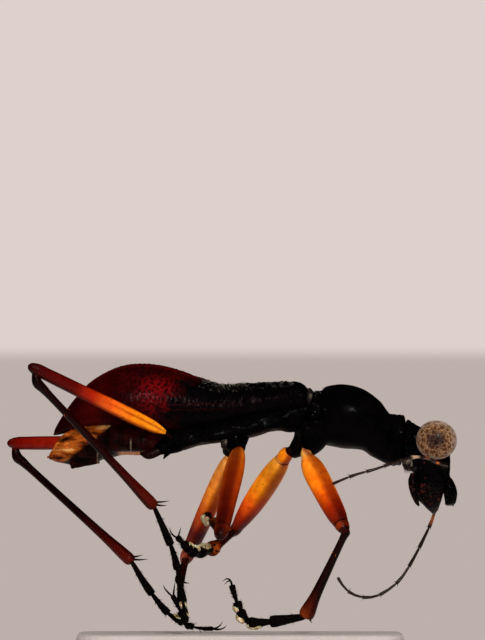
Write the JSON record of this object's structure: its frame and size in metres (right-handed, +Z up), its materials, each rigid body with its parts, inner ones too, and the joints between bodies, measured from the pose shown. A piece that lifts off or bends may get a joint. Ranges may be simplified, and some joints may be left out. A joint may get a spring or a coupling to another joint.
{
  "type": "flightless tiger beetle specimen",
  "caption": "Life-size still model of a slender flightless tiger beetle, dried in its last pose, standing on a small plain base.",
  "frame": {"origin": "middle of the underside of the model's box, on the surface that the base stands on", "axes": "+X towards the beetle's head, along its body; +Y to the beetle's left; +Z up"},
  "size_m": [0.009, 0.006, 0.006],
  "materials": {
    "wing_case_maroon": "glossy maroon cuticle, black towards the front",
    "abdomen_brown": "dark cuticle with a tan translucent tip",
    "cuticle_black": "glossy black cuticle",
    "mouth_dark": "dark brown horn",
    "eye_tan": "dried compound eye, mottled tan",
    "feeler_brown": "dark brown with orange rings",
    "leg_amber": "translucent amber turning red brown at the knee",
    "foot_dark": "black and bristly with cream pads",
    "base_pale": "matt pale grey"
  },
  "bodies": {
    "root": {"elytra": "wing_case_maroon", "abdomen": "abdomen_brown", "pterothorax": "cuticle_black", "prothorax": "cuticle_black", "head": "cuticle_black", "labrum": "cuticle_black", "mandible_left": "mouth_dark", "mandible_right": "mouth_dark", "palps_left": "mouth_dark", "palps_right": "mouth_dark", "eye_left": "eye_tan", "eye_right": "eye_tan", "antenna_left": "feeler_brown", "antenna_right": "feeler_brown", "leg_front_left": "leg_amber", "leg_front_right": "leg_amber", "leg_middle_left": "leg_amber", "leg_middle_right": "leg_amber", "leg_hind_left": "leg_amber", "leg_hind_right": "leg_amber", "tarsus_front_left": "foot_dark", "tarsus_front_right": "foot_dark", "tarsus_middle_left": "foot_dark", "tarsus_middle_right": "foot_dark", "tarsus_hind_left": "foot_dark", "tarsus_hind_right": "foot_dark", "stand_base": "base_pale"}
  },
  "joints": []
}
